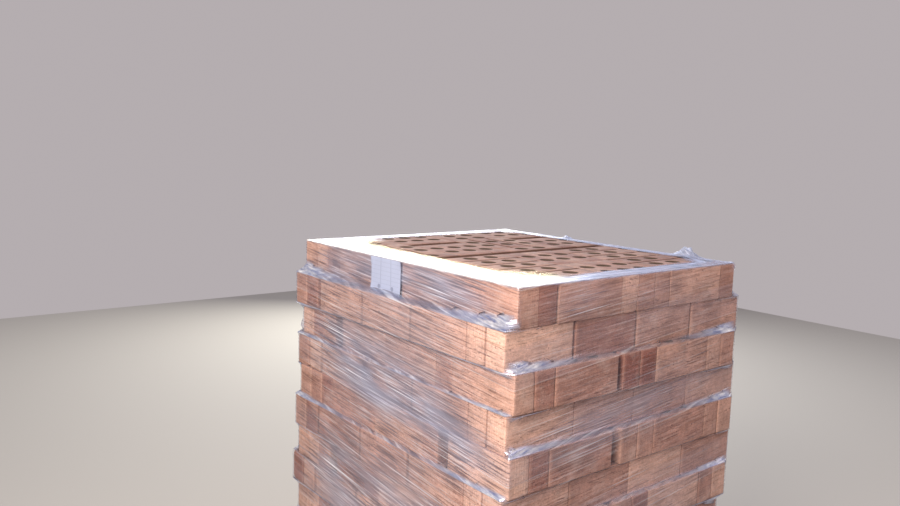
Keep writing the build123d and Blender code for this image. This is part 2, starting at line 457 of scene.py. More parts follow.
def packed_bricks(name):
    """The bricks' middles in a packed course, whether each lies along Y, and one brick's own size.

    A course's corners are stored brick by brick, so each brick is one block of them. Its own size
    is its length, width and height.
    """
    corners = CORED_BRICK_CORNERS if name == COURSES[-1] else PLAIN_BRICK_CORNERS
    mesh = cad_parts[name].data
    points = np.empty(len(mesh.vertices) * 3)
    mesh.vertices.foreach_get("co", points)
    bricks = points.reshape(-1, corners, 3)
    low, high = bricks.min(axis=1), bricks.max(axis=1)
    sizes = high - low
    own_size = np.array([sizes[0].max(), sizes[0].min(), sizes[0][2]])
    return (low + high) / 2, sizes[:, 0] < sizes[:, 1], own_size


def knocked_in(block, size, count, rng, settings):
    """How far each point of each brick is knocked in, for bricks with one block's points.

    Some of a brick's eight corners are knocked off. Near such a corner the points move towards
    the brick's middle, by the chip's depth at the corner and evenly less away from it.
    """
    corners = np.array([(x, y, z) for x in (-1, 1) for y in (-1, 1) for z in (-1, 1)]) * size / 2
    depth = settings.chip * rng.random((count, 8)) * (rng.random((count, 8)) < CHIPPED_SHARE)
    gap = np.linalg.norm(block[:, None] - corners[None], axis=2)
    pull = depth[:, None] * np.clip(1 - gap / CHIP_REACH, 0, 1)[None]
    return np.einsum("npc,cd->npd", pull, corners / np.linalg.norm(corners, axis=1, keepdims=True))


def brick_tones(number, places, rng, settings):
    """Each brick's tone from 0, hard-fired red, to 1, pale: drawn at random unless it stands out."""
    tones = 0.5 + settings.variety * (rng.random(len(places)) - 0.5)
    for course, place, tone in STANDOUT_BRICKS:
        if course == number:
            tones[np.linalg.norm(places[:, :2] - place, axis=1).argmin()] = tone
    return tones


def laid_course(name, number, settings):
    """One course of bricks, each the same worn block, set at its packed place.

    Every brick is the block with some corners knocked in, turned to lie along X or Y, and twisted
    and slipped a little.
    """
    rng = np.random.default_rng(number)
    top_course = name == COURSES[-1]
    places, along_y, size = packed_bricks(name)
    if top_course:
        block, faces = cored_surface(size, settings.edge, settings.core)
    else:
        block, faces = block_surface(size, settings.edge)
    count, each = len(places), len(block)
    local = block - knocked_in(block, size, count, rng, settings)

    turn = np.where(along_y, math.pi / 2, 0.0) + math.pi * rng.integers(0, 2, count)
    turn += np.radians(rng.uniform(-TWIST, TWIST, count))
    cos, sin = np.cos(turn)[:, None], np.sin(turn)[:, None]
    x, y, z = np.moveaxis(local, 2, 0)
    laid = np.stack([x * cos - y * sin, x * sin + y * cos, z], -1) + places[:, None]
    laid[..., :2] += rng.uniform(-settings.slip, settings.slip, (count, 1, 2))
    numbers = faces[None] + (np.arange(count) * each)[:, None, None]
    piece = mesh_object(f"{name}_laid", laid, numbers.reshape(-1, 4))
    piece.data.set_sharp_from_angle(angle=math.radians(50))

    # The distance to the nearest edge is the second smallest of those to the block's faces
    to_edge = np.sort(size / 2 - np.abs(block), axis=1)[:, 1]
    # Painted shade darkens the bricks between each other, from the course's outside inwards
    flat = laid[..., :2]
    middle = (places[:, :2].max(axis=0) + places[:, :2].min(axis=0)) / 2
    reach = (flat.max(axis=(0, 1)) - flat.min(axis=(0, 1))) / 2
    to_outside = (reach - np.abs(flat - middle)).min(axis=2)
    add_attribute(piece, "brick_place", "FLOAT_VECTOR", np.repeat(block[None], count, axis=0))
    add_attribute(piece, "brick_tone", "FLOAT", np.repeat(brick_tones(number, places, rng, settings), each))
    add_attribute(piece, "brick_seed", "FLOAT", np.repeat(rng.random(count), each))
    add_attribute(piece, "brick_wear", "FLOAT", np.tile(np.clip(1 - to_edge / WEAR_REACH, 0, 1), count))
    add_attribute(piece, "brick_inner", "FLOAT",
                  np.clip(to_outside / SHADE_DEPTH, 0, 1) * (1.0 if top_course else LOWER_SHADE))
    return piece


def clay_patterns(add):
    """The bricks' stored values and the noise patterns that their looks are made of, by name."""
    brick = stored_values(add, "brick", ("tone", "seed", "wear", "inner"))
    brick.x, brick.y, brick.z = add("SeparateXYZ", brick.place).node.outputs
    # Each brick shows its own part of the patterns
    far = add("VectorMath", (17.0, 5.0, 11.0), brick.seed, operation="SCALE")
    brick.spot = add("VectorMath", brick.place, far, operation="ADD")
    # Blotches of 70 mm, mottling of 9 mm and grit of 3 mm, coarser than the real 1 mm so that it shows
    brick.blotch = add("TexNoise", brick.spot, 1 / 0.070, 3.0, 0.65)
    brick.mottle = add("TexNoise", brick.spot, 1 / 0.009, 3.0, 0.65)
    brick.grit = add("TexNoise", brick.spot, 1 / 0.003, 2.0, 0.65)
    # Drag marks lie along the brick, 45 mm long and 4 mm high
    dragged = add("Mapping", brick.spot, Scale=(1 / 0.045, 1 / 0.016, 1 / 0.004))
    brick.drag = add("TexNoise", dragged, 1.0, 3.0, 0.65)
    return brick


def torn_and_pitted(add, brick):
    """Where the clay is torn by the dragging, or pitted, from 0 to 1."""
    torn = add("Math", add("MapRange", brick.drag, 0.59, 0.70),
               add("MapRange", brick.blotch, 0.4, 0.6, 0.35, 1.0), operation="MULTIPLY")
    # Pits are up to 8 mm across, one to every 15 mm, and fade out where the mottling is dark
    cells = add("TexVoronoi", brick.spot, 1 / 0.015, feature="F1").node.outputs
    hole = add("Math", cells["Color"], 0.32, -0.06, operation="MULTIPLY_ADD")
    pits = add("Math", add("Math", cells["Distance"], hole, operation="LESS_THAN"),
               add("MapRange", brick.mottle, 0.42, 0.6), operation="MULTIPLY")
    return add("Math", torn, pits, operation="MAXIMUM")


def combed_ends(add, brick, size):
    """Upright grooves 8 mm apart in the ends of two bricks in three, from 0 to 1."""
    comb = add("Math", add("Math", brick.y, 2 * math.pi / 0.008, operation="MULTIPLY"), operation="SINE")
    end = add("Math", add("Math", brick.x, operation="ABSOLUTE"), size[0] / 2 - END_SKIN,
              operation="GREATER_THAN")
    combed = add("Math", end, add("Math", brick.seed, 0.33, operation="GREATER_THAN"), operation="MULTIPLY")
    return add("Math", add("MapRange", comb, 0.2, 1.0), combed, operation="MULTIPLY")


def clay_tone(add, brick, settings):
    """Each brick's own clay, from hard-fired red through salmon and pink to pale."""
    clay = linear(settings.red)
    for start, end, colour in ((0.0, 0.2, settings.salmon),
                               (0.2, 0.55, settings.pink),
                               (0.55, 1.0, settings.pale)):
        clay = add("Mix", add("MapRange", brick.tone, start, end), clay, linear(colour), data_type="RGBA")
    return clay


def dust_and_shade(add, brick, clay, light, size, settings):
    """The clay with dust on its upper bed face, painted shade between the bricks and painted shade in the
    cores.
    """
    bed = add("Math", brick.z, size[2] / 2 - BED_SKIN, operation="GREATER_THAN")
    dusted = add("Math", bed, add("MapRange", brick.mottle, 0.35, 0.6, 0.35, 0.85), operation="MULTIPLY")
    dust = add("VectorMath", linear(settings.dust)[:3], light, operation="SCALE")
    clay = add("Mix", dusted, clay, dust, data_type="RGBA")
    # Faces that lie against other bricks get painted shade, but not the bed face
    off_bed = add("Math", bed, -0.85, 0.85, operation="MULTIPLY_ADD")
    between = add("Math", brick.inner, off_bed, operation="MULTIPLY")
    clay = add("Mix", between, clay, linear(settings.inner_shade), data_type="RGBA")
    # The cores' walls are painted dark as shade inside the holes. On the lower courses, whose bricks are
    # solid, a dark disc of painted shade stands for each core
    along = add("Math", add("Math", brick.x, operation="ABSOLUTE"), size[0] / 6, operation="SUBTRACT")
    from_core = add("VectorMath", add("CombineXYZ", along, brick.y), operation="LENGTH")
    in_core = add("Math", from_core, settings.core / 2 + CORE_SKIN, operation="LESS_THAN")
    darkened = add("Math", in_core, 0.85, operation="MULTIPLY")
    return add("Mix", darkened, clay, linear(settings.core_shade), data_type="RGBA")


def fired_clay(size, settings):
    """Extruded and wire-cut facing clay, kiln fired and left bare: dull, gritty and dragged lengthways."""
    material, add = new_material("fired_clay")
    brick = clay_patterns(add)
    marks = torn_and_pitted(add, brick)
    groove = combed_ends(add, brick, size)

    light = add("Math", add("MapRange", brick.blotch, 0.3, 0.7, 0.78, 1.15),
                add("MapRange", brick.mottle, 0.3, 0.7, 0.82, 1.14), operation="MULTIPLY")
    light = add("Math", light, add("MapRange", brick.grit, 0.3, 0.7, 0.84, 1.12), operation="MULTIPLY")
    clay = add("VectorMath", clay_tone(add, brick, settings), light, operation="SCALE")
    # Torn marks, blooms of 110 mm, combing and rubbed edges lie over it, in this order
    salts = add("TexNoise", brick.spot, 1 / 0.110, 4.0, 0.65)
    for cover, colour in ((add("Math", marks, 0.7, operation="MULTIPLY"), settings.torn),
                          (add("MapRange", salts, 0.54, 0.72, 0.0, 0.4), settings.bloom),
                          (add("Math", groove, 0.1, operation="MULTIPLY"), settings.combed),
                          (add("Math", brick.wear, 0.35, operation="MULTIPLY"), settings.rubbed)):
        clay = add("Mix", cover, clay, linear(colour), data_type="RGBA")
    clay = dust_and_shade(add, brick, clay, light, size, settings)

    lumps = add("Math", brick.mottle, 0.8, brick.drag, operation="MULTIPLY_ADD")
    lumps = add("Math", brick.grit, 0.4, lumps, operation="MULTIPLY_ADD")
    hollows = add("Math", groove, 0.15, marks, operation="MULTIPLY_ADD")
    relief = add("Math", lumps, hollows, operation="SUBTRACT")
    bump = add("Bump", Strength=0.9, Distance=0.0015, Height=relief)
    add("OutputMaterial", add("BsdfPrincipled", Base_Color=clay, Normal=bump, Roughness=0.92,
                              Specular_IOR_Level=0.25))
    return material


def sawn_softwood(name, along, settings):
    """Rough-sawn, weathered softwood: rings along the grain, saw marks across it and grey patches."""
    material, add = new_material(name)
    place = add("TexCoord", output="Object")

    def grain(length, width, detail, distortion):
        """Noise with these sizes in metres, along the grain and across it."""
        scale = (1 / length, 1 / width, 1 / width) if along == "X" else (1 / width, 1 / length, 1 / width)
        drawn_out = add("Mapping", place, Scale=scale)
        return add("TexNoise", drawn_out, 1.0, detail, 0.55, Distortion=distortion)

    # Rings lie about 18 mm apart and saw marks 4 mm. Fibres of 2.4 mm are coarser than the real 1 mm, so
    # that they show
    rings = grain(0.45, 0.018, 4.0, 1.2)
    fibre = grain(0.08, 0.0024, 2.0, 0.0)
    saw = grain(0.004, 0.16, 1.0, 0.0)
    weather = add("TexNoise", place, 1 / 0.14, 3.0)

    wood = add("Mix", add("MapRange", rings, 0.36, 0.52), linear(settings.dark), linear(settings.pale),
               data_type="RGBA")
    wood = add("Mix", add("MapRange", rings, 0.52, 0.75), wood, linear(settings.palest), data_type="RGBA")
    wood = add("VectorMath", wood, add("MapRange", fibre, 0.3, 0.7, 0.78, 1.12), operation="SCALE")
    weathered = add("MapRange", weather, 0.4, 0.7, 0.05, 0.55)
    wood = add("Mix", weathered, wood, linear(settings.grey), data_type="RGBA")
    ridges = add("Math", saw, 0.6, fibre, operation="MULTIPLY_ADD")
    bump = add("Bump", Strength=0.7, Distance=0.001, Height=ridges)
    add("OutputMaterial", add("BsdfPrincipled", Base_Color=wood, Normal=bump, Roughness=0.85,
                              Specular_IOR_Level=0.3))
    return material


def sawn_piece(name, settings):
    """A board or bearer: a block with rounded edges, stood in its packed place."""
    low, high = (np.array(corner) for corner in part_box(name))
    points, faces = block_surface(high - low, settings.edge)
    piece = mesh_object(f"{name}_sawn", points + (low + high) / 2, faces)
    piece.data.set_sharp_from_angle(angle=math.radians(50))
    return piece


def film_rows():
    """The film's rows from the foot up: height, way in over the top from 0 to 1, and whether it is on top.

    Rows lie closer together towards each ledge between two courses, and over the top towards
    the outer edge.
    """
    base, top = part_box(COURSES[0])[0].z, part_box(COURSES[-1])[1].z
    step = (top - base) / len(COURSES)
    ledges = [base + step * number + LEDGE_ROWS for number in range(1, len(COURSES))]
    sides = np.concatenate([base + FOOT_ROWS, *ledges, top + LEDGE_ROWS[LEDGE_ROWS < 0]])
    heights = np.concatenate([sides, np.full(BORDER_ROWS, top)])
    rim = np.concatenate([np.zeros(len(sides)), np.linspace(0, 1, BORDER_ROWS) ** 1.2])
    on_top = np.concatenate([np.zeros(len(sides)), np.ones(BORDER_ROWS)])
    return heights, rim[:, None], on_top[:, None]


def film_outline(side_points, corner_points):
    """The film's way round the stack from the near corner, as shares along X and Y, and normals.

    The four sides are straight, and each corner is a quarter circle. Shares and normals are for
    a rectangle that goes from 0 to 1 both ways, front side first.
    """
    along = np.linspace(0, 1, side_points, endpoint=False)
    bend = np.linspace(0, math.pi / 2, corner_points, endpoint=False)
    share, normal = [], []
    for index in range(4):
        start, end = STACK_CORNERS[index], STACK_CORNERS[(index + 1) % 4]
        facing = -math.pi / 2 + index * math.pi / 2
        share += [start + (end - start) * along[:, None], np.repeat(end[None], corner_points, axis=0)]
        turn = np.concatenate([np.full(side_points, facing), facing + bend])
        normal.append(np.stack([np.cos(turn), np.sin(turn)], -1))
    return np.concatenate(share), np.concatenate(normal)


def film_reach(heights, rim, share, normal, steepness, settings):
    """Where the film lies at each height, and how far it stands off the bricks there.

    Every course holds the film out to its own rounded rectangle, which shrinks by the height to
    the course over the film's steepness, and by the border's width where rim goes from 0 to 1.
    Of all the courses the one that reaches farthest along the film's normal sets the point, so
    the film spans straight across corners that don't lie over each other.
    """
    shape = len(heights), len(share)
    x, y = np.zeros(shape), np.zeros(shape)
    farthest, touching = np.full(shape, -np.inf), np.full(shape, -np.inf)
    left, right, front, back = (rim * width for width in settings.border)
    for name in COURSES:
        low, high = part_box(name)
        gap = np.maximum(np.maximum(low.z - heights, heights - high.z), 0.0)[:, None]
        inset = gap / steepness + settings.corner - settings.clearance
        own_x = (low.x + inset + left) * (1 - share[:, 0]) + (high.x - inset - right) * share[:, 0]
        own_y = (low.y + inset + front) * (1 - share[:, 1]) + (high.y - inset - back) * share[:, 1]
        reach = own_x * normal[:, 0] + own_y * normal[:, 1]
        x, y = np.where(reach > farthest, own_x, x), np.where(reach > farthest, own_y, y)
        farthest = np.maximum(farthest, reach)
        touching = np.where(gap == 0, np.maximum(touching, reach), touching)
    return x + settings.corner * normal[:, 0], y + settings.corner * normal[:, 1], farthest - touching


def ripple(u, v, waves):
    """A sum of sine waves, each (waves per metre along u, along v, phase), from -1 to 1."""
    total = sum(np.sin(2 * math.pi * (fu * u + fv * v) + phase) for fu, fv, phase in waves)
    return total / len(waves)


def tufted(points, outwards):
    """The film's points with its tufts drawn out, and how far each point is part of one, from 0 to 1.

    Round a tuft's middle the points move outwards by the tuft's size times a bell curve of the
    distance, and a sum of sine waves crumples what is drawn out.
    """
    in_tuft = np.zeros(points.shape[:2])
    for place, size in FILM_TUFTS:
        away = (points - place) / size
        swell = np.exp(-np.sum(away ** 2, axis=-1))
        crumple = ripple(points[..., 0] + points[..., 2], points[..., 1], TUFT_CREASES)
        points = points + swell[..., None] * outwards * size * (0.75 + 0.5 * crumple[..., None])
        in_tuft = np.maximum(in_tuft, swell)
    return points, in_tuft


def wrapped_film(settings):
    """The film round the stack and its border on top, as one grid of way round by way up.

    Going up, a point is on the outline that the courses hold out at its height, with shallow
    puckers. Past the top edge the outline shrinks inwards over the bricks, is cut across at the
    corners and lies in low folds. Also gives the way round and the way up in metres.
    """
    heights, rim, on_top = film_rows()
    share, normal = film_outline(side_points=100, corner_points=5)
    # Distance from each corner of the stack, whose sides are about a metre long
    from_corner = np.linalg.norm(share[:, None] - STACK_CORNERS, axis=2)
    nearest = from_corner.min(axis=1)
    steepness = settings.steepness + settings.corner_steepness * np.exp(-nearest / GATHER_REACH)
    x, y, slack = film_reach(heights, rim, share, normal, steepness, settings)
    loose = np.clip(slack / WEB_DEPTH, 0, 1)

    cuts = CORNER_CUTS * settings.fold
    cut = cuts / 2 * np.clip(1 - from_corner / cuts, 0, 1) @ (1 - 2 * STACK_CORNERS)
    x, y = x + rim * cut[:, 0], y + rim * cut[:, 1]

    # The points that turn a corner share one place, so a small step keeps them apart
    steps = np.linalg.norm(np.diff(share, axis=0), axis=1) + 1e-4
    way = np.concatenate([[0.0], np.cumsum(steps)])
    perimeter = 2 * (x.max() - x.min() + y.max() - y.min())
    round_way = np.repeat(way[None] / way[-1] * perimeter, len(heights), axis=0)
    up_way = np.repeat(heights[:, None] + rim * max(settings.border), len(share), axis=1)
    level = np.zeros_like(up_way)

    # The film is thickest on the left, where the last turns end, and over the near corner, and is painted as
    # sunlit there
    on_left = np.where(share[:, 0] == 0, 1.0, 0.0)
    thick = np.clip(on_left + on_top * np.exp(-(from_corner[:, 0] / 0.2) ** 2), 0, 1)
    # Folds never go below the bricks, and grow to their full height over the border's outer fifth
    folds = np.maximum(FOLD_HEIGHT + FOLD_SWING * ripple(round_way, up_way, BORDER_FOLDS), 0.0)
    lift = on_top * np.clip(rim / 0.2, 0, 1) * folds
    lift *= 0.3 + 0.3 * thick
    z = heights[:, None] + on_top * settings.clearance + lift
    pucker = PUCKER * ripple(round_way, up_way, SIDE_PUCKERS) * (0.4 + loose)
    x = x + normal[:, 0] * (pucker + PUCKER) * (1 - on_top)
    y = y + normal[:, 1] * (pucker + PUCKER) * (1 - on_top)
    outwards = np.stack([normal[:, 0] * (1 - on_top), normal[:, 1] * (1 - on_top), on_top + level], -1)
    points, in_tuft = tufted(np.stack([x, y, z], -1), outwards)

    # The turns come down towards the near corner from both sides, and so do the milky bands
    from_near = np.minimum(round_way, perimeter - round_way)
    drop = from_near * math.tan(settings.wrap_angle)
    milky = sum(strength * np.exp(-((up_way - height - rise * from_near) / width) ** 2)
                for height, rise, width, strength in FILM_BANDS)

    piece = mesh_object("stretch_film_wrap", points, grid_faces(len(heights), len(share), closed=True))
    add_attribute(piece, "film_place", "FLOAT_VECTOR", np.stack([round_way, up_way - drop, level], -1))
    # Each value goes from 0 to 1, and inland is full 300 mm from the nearest corner
    for name, values in (("loose", np.maximum(loose, in_tuft)), ("border", on_top + level),
                         ("rim", rim + level), ("inland", np.clip(nearest / 0.3, 0, 1) + level),
                         ("thick", np.maximum(thick, 0.4 * in_tuft)), ("milky", milky)):
        add_attribute(piece, f"film_{name}", "FLOAT", values)
    return piece, perimeter, up_way.max() - up_way.min()


def streaks(add, film, length, spacing, detail):
    """Noise drawn out along the film's turns, with these sizes in metres."""
    return add("TexNoise", add("Mapping", film.place, Scale=(1 / length, 1 / spacing, 1.0)), 1.0, detail, 0.6)


def film_patterns(add):
    """The film's stored values and the noise patterns that its looks are made of, by name."""
    film = stored_values(add, "film", ("loose", "border", "rim", "inland", "thick", "milky"))
    # Stretch marks lie 4 to 9 mm apart, coarser than the real 1 to 3 mm so that they show
    film.fine = streaks(add, film, 0.15, 0.004, 2.0)
    film.coarse = streaks(add, film, 0.25, 0.009, 2.0)
    film.ridge = streaks(add, film, 0.38, 0.0065, 1.0)
    # Near the corners the webs are crumpled, with creases 45 mm long and 8 mm high
    film.crease = streaks(add, film, 0.045, 0.008, 3.0)
    film.crumpled = add("Math", film.loose, add("MapRange", film.inland, 0.1, 0.8, 1.0, 0.1),
                        operation="MULTIPLY")
    return film


def film_haze(add, film):
    """The milky haze, from 0 to about 1, in patches where the film is stuck down or stands off."""
    patch = streaks(add, film, 0.5, 0.16, 3.0)
    haze = add("Math", add("MapRange", patch, 0.36, 0.66, 0.16, 0.62),
               add("MapRange", film.inland, 0.1, 0.9, 0.12, 1.0), operation="MULTIPLY")
    layers = add("Math", film.thick, 0.95, 0.3, operation="MULTIPLY_ADD")
    haze = add("Math", haze, layers, operation="MULTIPLY")
    return add("Math", haze, add("MapRange", film.milky, 0.0, 1.0, 0.35, 1.3), operation="MULTIPLY")


def stretch_marks(add, film):
    """The light and the dark stretch marks, as painted highlights and painted shade, each from 0 to about 1,
    and fainter near the corners.
    """
    # Ridges get painted highlights where they gather
    gathered = streaks(add, film, 0.9, 0.12, 2.0)
    bright = add("Math", add("MapRange", film.ridge, 0.61, 0.74, 0.0, 0.6),
                 add("MapRange", gathered, 0.45, 0.64, 0.05, 1.0), operation="MULTIPLY")
    light = add("Math", add("MapRange", film.fine, 0.52, 0.74, 0.0, 0.28), bright, operation="MAXIMUM")
    dark = add("Math", add("MapRange", film.fine, 0.48, 0.28, 0.0, 0.65),
               add("MapRange", film.coarse, 0.42, 0.26, 0.0, 0.5), operation="MAXIMUM")
    dark = add("Math", dark, add("MapRange", film.inland, 0.0, 0.6, 0.5, 1.0), operation="MULTIPLY")
    # The side where the last turns end, painted as sunlit, shows its marks more, and so do the milky bands
    clearer = add("Math", film.thick, 0.5, 0.6, operation="MULTIPLY_ADD")
    clearer = add("Math", clearer, add("MapRange", film.milky, 0.0, 1.0, 0.9, 1.5), operation="MULTIPLY")
    inland = add("Math", clearer, add("MapRange", film.inland, 0.0, 0.6, 0.4, 1.0), operation="MULTIPLY")
    light = add("Math", light, inland, operation="MULTIPLY")
    dark = add("Math", dark, clearer, operation="MULTIPLY")
    return light, dark


def turn_laps(add, film):
    """Where each turn laps the one below it, and the bright edge of that lap, a painted highlight."""
    height = add("SeparateXYZ", film.place, output="Y")
    turns = add("Math", height, 1 / TURN_RISE, operation="MULTIPLY")
    turn = add("Math", add("Math", film.fine, 0.012, turns, operation="MULTIPLY_ADD"), operation="FRACT")
    lapped = add("MapRange", turn, 0.60, 0.61, 0.0, 0.08)
    edge = add("Math", add("MapRange", turn, 0.59, 0.6), add("MapRange", turn, 0.6, 0.61, 0.22, 0.0),
               operation="MULTIPLY")
    return lapped, edge


def film_cover(add, film, layers):
    """How much the film hides of what lies behind it: the layers added up, then webs and border."""
    cover = layers[0]
    for layer in layers[1:]:
        cover = add("Math", cover, layer, operation="ADD")
    web = add("MapRange", film.inland, 0.15, 0.9, 0.85, 0.08)
    cover = add("Math", film.loose, web, cover, operation="MULTIPLY_ADD")
    folded = add("MapRange", film.ridge, 0.35, 0.65, 0.12, 0.30)
    folded = add("Math", film.thick, 0.5, folded, operation="MULTIPLY_ADD")
    return add("Math", film.border, folded, cover, operation="MULTIPLY_ADD")


def film_alpha(add, film, cover):
    """The film's alpha: its cover, with more at a grazing view, thinning out over the border."""
    grazing = add("LayerWeight", Blend=0.22, output="Fresnel")
    share = add("Math", grazing, 0.3, cover, operation="MULTIPLY_ADD")
    # The border thins out unevenly towards its inner edge, and begins to do so farther out where it is thick
    inwards = add("Math", film.rim, 0.25, operation="SUBTRACT")
    inwards = add("Math", film.coarse, 0.5, inwards, operation="MULTIPLY_ADD")
    start = add("Math", film.thick, -0.37, 0.62, operation="MULTIPLY_ADD")
    thinning = add("MapRange", inwards, start, 0.97, 1.0, 0.0, interpolation_type="SMOOTHSTEP")
    share = add("Math", share, thinning, operation="MULTIPLY")
    return add("Math", share, 0.94, operation="MINIMUM")


def film_colour(add, film, glinting, shaded, settings):
    """Mauve haze, creamy where many turns lie on the border and painted as sunlit, bluish as painted sky
    reflection in webs, with painted glints and shade.
    """
    # Partly the whiter film of many turns, partly painted sunlight: creamy tints where the border is thick
    many_sunlit_turns = add("Math", film.border, film.thick, operation="MULTIPLY")
    sunlit_cream = add("Mix", add("MapRange", film.rim, 0.2, 0.7), linear(settings.rim), linear(settings.sunlit_cream),
                data_type="RGBA")
    creamy = add("Mix", many_sunlit_turns, linear(settings.tint), sunlit_cream, data_type="RGBA")
    # Webs, thin folds of the border and milky bands are bluish, a painted reflection of the sky
    thin_shaded_fold = add("Math", film.border, many_sunlit_turns, operation="SUBTRACT")
    bluish = add("Math", film.loose, thin_shaded_fold, operation="MAXIMUM")
    banded = add("Math", film.thick, 0.4, 0.2, operation="MULTIPLY_ADD")
    banded = add("Math", film.milky, banded, operation="MULTIPLY")
    bluish = add("Math", bluish, banded, operation="MAXIMUM")
    # Painted light and shade: facets of crumpled webs are coloured bright or shadowed
    facets = add("Mix", add("MapRange", film.crease, 0.36, 0.60), linear(settings.facet_shade),
                 linear(settings.lit_facet), data_type="RGBA")
    web = add("Mix", film.crumpled, linear(settings.web), facets, data_type="RGBA")
    colour = add("Mix", bluish, creamy, web, data_type="RGBA")
    colour = add("Mix", glinting, colour, linear(settings.glint), data_type="RGBA")
    return add("Mix", shaded, colour, linear(settings.shade), data_type="RGBA")


def stretched_polythene(settings):
    """Blown polythene stretch film in several turns: clear, with milky haze and stretch marks that glint."""
    material, add = new_material("stretched_polythene")
    film = film_patterns(add)
    light_marks, dark_marks = stretch_marks(add, film)
    lapped, lap_edge = turn_laps(add, film)
    cover = film_cover(add, film, [film_haze(add, film), light_marks, dark_marks, lapped, lap_edge])

    # Dark marks are where a wrinkle shades the bricks behind it
    shaded = add("Math", add("Math", dark_marks, cover, operation="DIVIDE"),
                 add("Math", 1.0, film.border, operation="SUBTRACT"), operation="MULTIPLY")
    # Painted highlights: light marks, lap edges, webs and the bright creases of crumpled film are coloured as
    # glints
    painted_glints = add("Math", light_marks, lap_edge, operation="ADD")
    painted_glints = add("Math", film.loose, 0.05, painted_glints, operation="MULTIPLY_ADD")
    glints = add("MapRange", film.crease, 0.60, 0.68, 0.0, 0.5)
    glints = add("Math", glints, film.crumpled, operation="MULTIPLY")
    painted_glints = add("Math", painted_glints, glints, operation="ADD")
    glinting = add("Math", painted_glints, cover, operation="DIVIDE", use_clamp=True)
    # The layers mirror the room many times over, which one sheet's own gloss would be too weak for
    mirrored = add("Math", film.border, -0.35, 0.75, operation="MULTIPLY_ADD")
    mirrored = add("Math", mirrored, add("Math", 1.0, glinting, operation="SUBTRACT"), operation="MULTIPLY")

    wrinkles = add("Math", film.ridge, 1.5, film.fine, operation="MULTIPLY_ADD")
    creases = add("Math", film.crease, 2.0, operation="MULTIPLY")
    wrinkles = add("Math", creases, film.crumpled, wrinkles, operation="MULTIPLY_ADD")
    bump = add("Bump", Strength=0.6, Distance=0.002, Height=wrinkles)
    colour = film_colour(add, film, glinting, shaded, settings)
    add("OutputMaterial", add("BsdfPrincipled", Base_Color=colour, Alpha=film_alpha(add, film, cover),
                              Metallic=mirrored, Normal=bump, Roughness=0.33, IOR=1.5))
    return material


def stuck_label(clearance, settings):
    """The paper label as a grid of two parameters, flat on the film, with its corners lifting off it.

    The lift grows with the way out to an end of the label times the way out to its upper or lower
    edge, and a low sine wave cockles the sheet. Also gives the label's width and height.
    """
    low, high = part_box("paper_label")
    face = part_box(COURSES[-1])[0].x - clearance - LABEL_GAP
    across, up = np.meshgrid(np.linspace(0, 1, 25), np.linspace(0, 1, 17), indexing="xy")
    # At a corner the product of the two ways is 0.15
    raised = np.clip(np.abs(across - 0.5) * 2 - 0.7, 0, 1) * np.clip(np.abs(up - 0.5) * 2 - 0.5, 0, 1) / 0.15
    x = face - settings.lift * raised - COCKLE * np.sin(9 * across + 4 * up)
    y = low.y + (high.y - low.y) * across
    z = low.z + (high.z - low.z) * up
    piece = mesh_object("paper_label_sheet", np.stack([x, y, z], -1), grid_faces(*across.shape)[:, ::-1])
    add_uv(piece, "label_uv", np.stack([across, up], -1))
    return piece, (high.y - low.y, high.z - low.z)


def label_paper(settings):
    """Uncoated paper label with a few faint ruled lines and two round spots: matt and a little cockled."""
    material, add = new_material("uncoated_label_paper")
    uv = add("UVMap", uv_map="label_uv")
    fibres = add("TexNoise", uv, 60.0, 3.0)
    across, up, _ = add("SeparateXYZ", uv).node.outputs

    ink = 0.0
    for axis, count in ((up, RULED_ROWS), (across, RULED_COLUMNS)):
        wave = add("Math", add("Math", axis, 2 * math.pi * count, operation="MULTIPLY"), operation="COSINE")
        ink = add("Math", add("MapRange", wave, 0.93, 1.0, 0.0, 0.32), ink, operation="MAXIMUM")
    # The label is 0.66 times as high as wide, and its spots of 13 mm are round
    square = add("CombineXYZ", across, add("Math", up, 0.66, operation="MULTIPLY"))
    for middle in SPOT_MIDDLES:
        away = add("VectorMath", square, (middle, SPOT_HEIGHT, 0.0), operation="DISTANCE")
        spot = add("Math", add("Math", away, SPOT_RADIUS, operation="LESS_THAN"), 0.7, operation="MULTIPLY")
        ink = add("Math", ink, spot, operation="MAXIMUM")
    faded = add("Math", ink, add("Math", fibres, 0.8, 0.3, operation="MULTIPLY_ADD"), operation="MULTIPLY")
    paper = add("Mix", faded, linear(settings.paper), linear(settings.ink), data_type="RGBA")
    bump = add("Bump", Strength=0.3, Distance=0.0005, Height=fibres)
    add("OutputMaterial", add("BsdfPrincipled", Base_Color=paper, Normal=bump, Roughness=0.6))
    return material


def finish_piece(piece, node, material):
    """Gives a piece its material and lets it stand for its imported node."""
    piece.data.materials.append(material)
    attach(piece, "root")
    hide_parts(node)


class PALLET_OT_lay_bricks(bpy.types.Operator):
    """Lay every course of worn, fired bricks"""
    bl_idname = "pallet.lay_bricks"
    bl_label = "Lay Bricks"

    def execute(self, context):
        settings = context.scene.pallet_bricks
        _, _, size = packed_bricks(COURSES[-1])
        clay = fired_clay(size, settings)
        for number, name in enumerate(COURSES, 1):
            finish_piece(laid_course(name, number, settings), name, clay)
        return {"FINISHED"}


class PALLET_OT_saw_timber(bpy.types.Operator):
    """Make the deck boards and bearers of rough-sawn wood"""
    bl_idname = "pallet.saw_timber"
    bl_label = "Saw Timber"

    def execute(self, context):
        settings = context.scene.pallet_wood
        for names, along in ((BOARDS, "Y"), (BEARERS, "X")):
            wood = sawn_softwood(f"sawn_softwood_along_{along.lower()}", along, settings)
            for name in names:
                finish_piece(sawn_piece(name, settings), name, wood)
        return {"FINISHED"}


